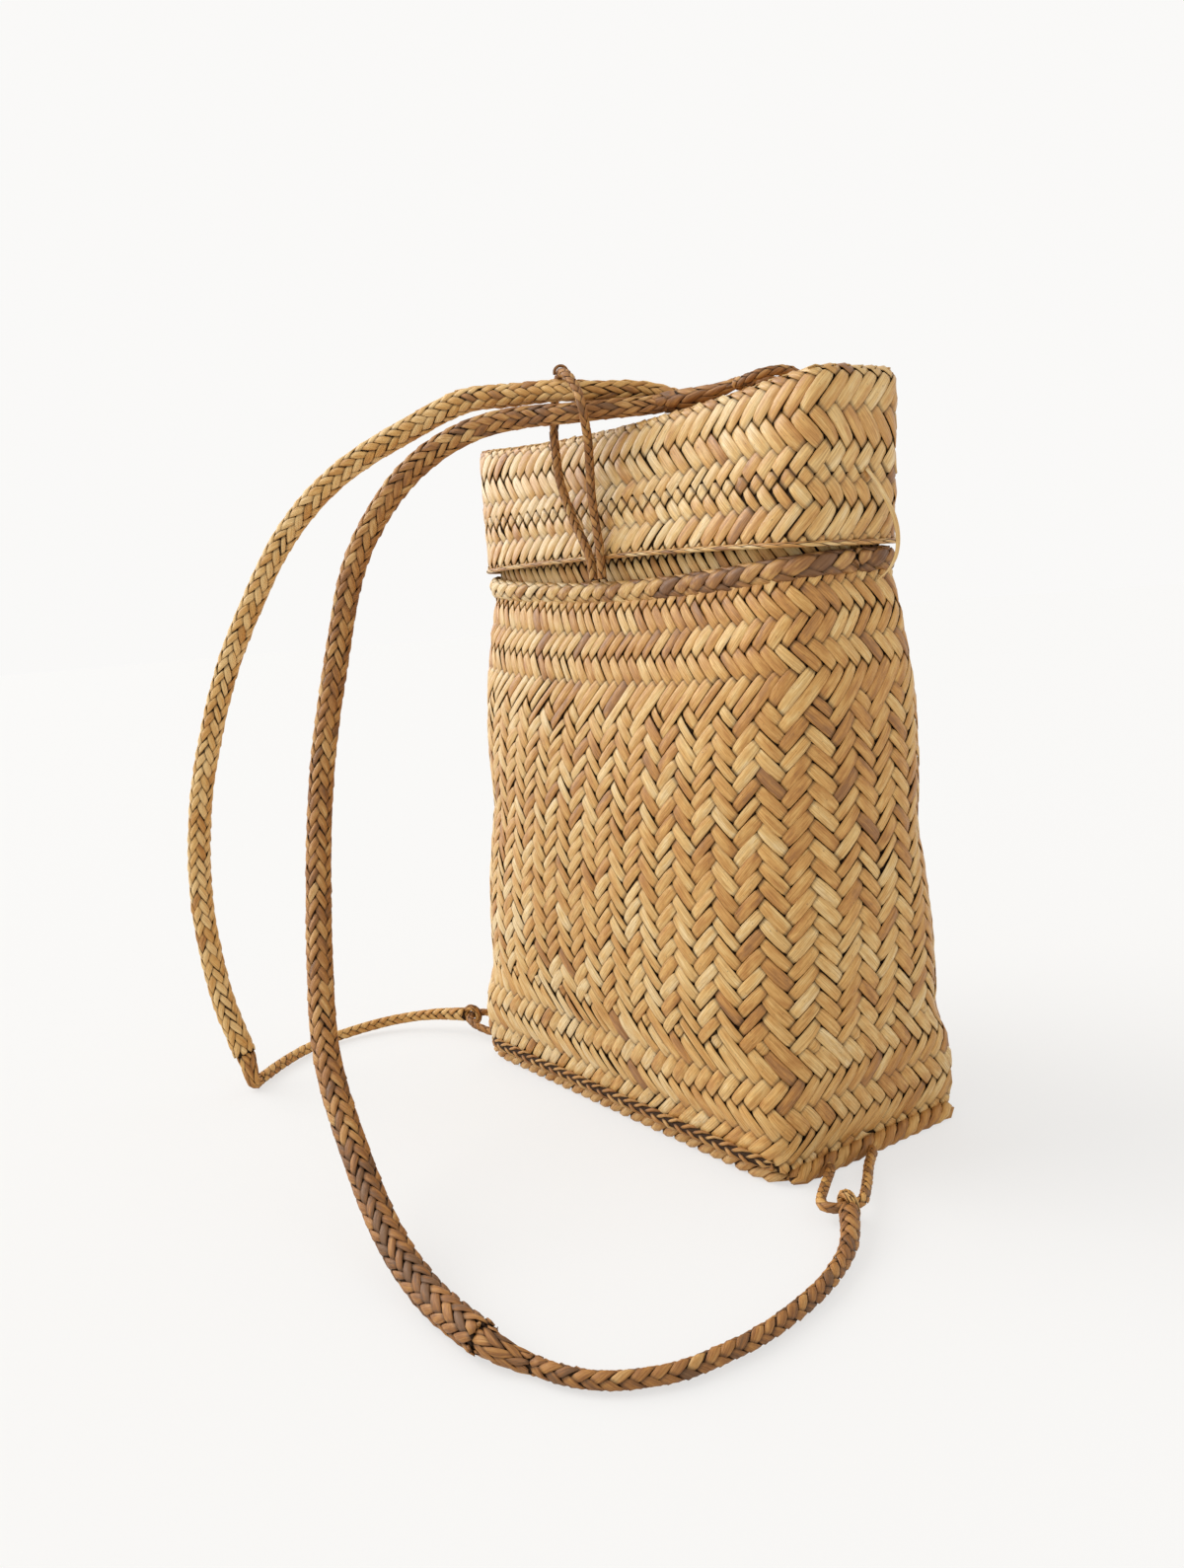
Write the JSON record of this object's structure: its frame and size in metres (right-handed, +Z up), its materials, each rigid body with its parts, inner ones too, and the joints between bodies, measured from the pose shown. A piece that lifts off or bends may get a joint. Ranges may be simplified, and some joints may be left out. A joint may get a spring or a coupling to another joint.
{
  "type": "pack basket",
  "caption": "Plaited pack basket with a rectangular base, a lid that slides down over its neck, and braided shoulder straps that arch from the lid's top to loops at the base.",
  "frame": {"origin": "on the floor, under the middle of the rectangular base", "axes": "+Z up; +X towards the right narrow side, where the flat tether ties the lid; -Y towards the wearer's wide side, where the straps arch out; +Y towards the far wide side"},
  "size_m": [0.484, 0.3376, 0.4313],
  "materials": {
    "plaited_wall": "plaited dry leaf strips, satin, cream to honey",
    "leaf_strip": "one flat dry leaf strip, satin",
    "dark_edging": "tightly braided leaf, matt, brown",
    "golden_edging": "rolled braided leaf, matt, golden brown",
    "dark_braid": "braided leaf cord, matt, dark honey to greyish brown",
    "golden_braid": "braided leaf cord, matt, golden brown"
  },
  "bodies": {
    "basket": {"body_wall": "plaited_wall", "rim_braid": "plaited_wall", "neck_collar": "plaited_wall", "back_base_edging": "dark_edging", "right_base_edging": "golden_edging", "front_base_edging": "dark_edging", "left_base_edging": "golden_edging", "base_panel": "plaited_wall", "lid_tether": "leaf_strip", "back_tie_loop": "dark_braid", "back_tie_knot": "dark_braid", "front_tie_loop": "dark_braid", "strap_binding": "dark_braid", "right_strap": "dark_braid", "left_strap": "golden_braid", "right_splice": "dark_braid", "left_splice": "dark_braid", "right_strap_tail": "dark_braid", "left_strap_tail": "golden_braid", "right_tail_eye": "golden_braid", "left_tail_eye": "golden_braid", "right_base_loop": "golden_braid", "left_base_loop": "golden_braid"},
    "lid": {"lid_shell": "plaited_wall"}
  },
  "joints": [
    {"name": "lid_lift", "type": "slide", "parent": "basket", "child": "lid", "axis": [0, 0, 1], "range_m": [0, 0.06], "deforming": ["lid_tether", "back_tie_loop", "back_tie_knot", "front_tie_loop", "strap_binding", "right_strap", "left_strap"]}
  ]
}
